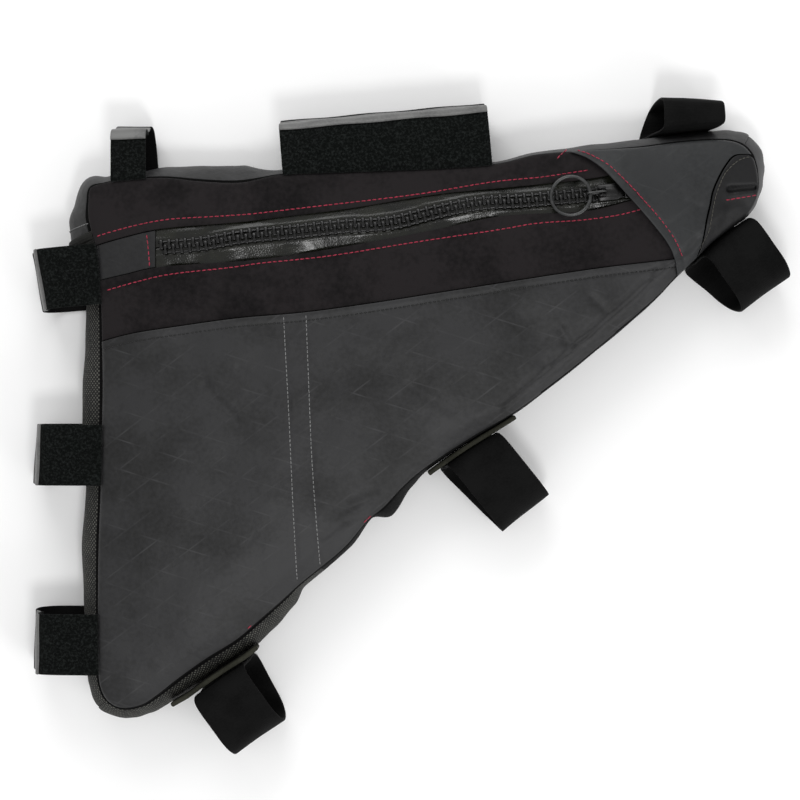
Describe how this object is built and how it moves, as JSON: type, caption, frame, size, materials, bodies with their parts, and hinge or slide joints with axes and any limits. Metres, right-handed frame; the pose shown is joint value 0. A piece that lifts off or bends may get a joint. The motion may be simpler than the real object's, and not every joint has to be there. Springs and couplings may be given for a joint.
{
  "type": "bicycle frame bag",
  "caption": "Triangular zipped bag for the inside of a bicycle frame: soft cloth panels, a hood over the zip's end and strap loops along its three edges.",
  "frame": {"origin": "on the surface that the back panel lies on, under the middle of the bounding box", "axes": "+X towards the nose at the head tube end, +Y towards the top tube, +Z out of the front panel"},
  "size_m": [0.4808, 0.4166, 0.0641],
  "materials": {
    "laminate": "grey laminated pack cloth, satin, with crossing reinforcing threads",
    "black_cloth": "black woven nylon, matt",
    "pack_cloth": "coarse dark olive-grey pack cloth, matt",
    "loop_pile": "black brushed loop pile, matt",
    "strap_back": "black hook-and-loop strap, smooth woven back",
    "tab_laminate": "light grey smooth strap end, satin",
    "zip_tape": "polyurethane coated water-resistant zip tape, glossy",
    "zip_teeth": "moulded black acetal teeth, satin",
    "zip_metal": "grey-black painted metal, satin",
    "keeper_web": "stiff olive-grey webbing, matt"
  },
  "bodies": {
    "root": {"back_panel": "pack_cloth", "gusset_seat_tube": "pack_cloth", "gusset_down_tube": "pack_cloth", "gusset_nose": "laminate", "gusset_top": "laminate", "corner_binding": "pack_cloth", "front_lower_panel": "laminate", "front_lower_band": "black_cloth", "front_upper_band": "black_cloth", "garage_tab": "laminate", "zip_tape_upper": "zip_tape", "zip_tape_lower": "zip_tape", "zip_teeth_upper": "zip_teeth", "zip_teeth_lower": "zip_teeth", "zip_slider": "zip_metal", "zip_bail": "zip_metal", "zip_ring_pull": "zip_metal", "hood": "laminate", "port_panel": "laminate", "seat_strap_upper_loop": "loop_pile", "seat_strap_upper_hook": "tab_laminate", "seat_strap_middle_loop": "loop_pile", "seat_strap_middle_hook": "tab_laminate", "seat_strap_lower_loop": "loop_pile", "seat_strap_lower_hook": "tab_laminate", "top_strap_rear_loop": "loop_pile", "top_strap_rear_hook": "tab_laminate", "top_strap_wide_loop": "loop_pile", "top_strap_wide_hook": "tab_laminate", "top_strap_front": "strap_back", "down_strap_front": "strap_back", "down_strap_middle": "strap_back", "down_strap_rear": "strap_back", "down_strap_middle_keeper": "keeper_web", "down_strap_rear_keeper": "keeper_web"}
  },
  "joints": []
}
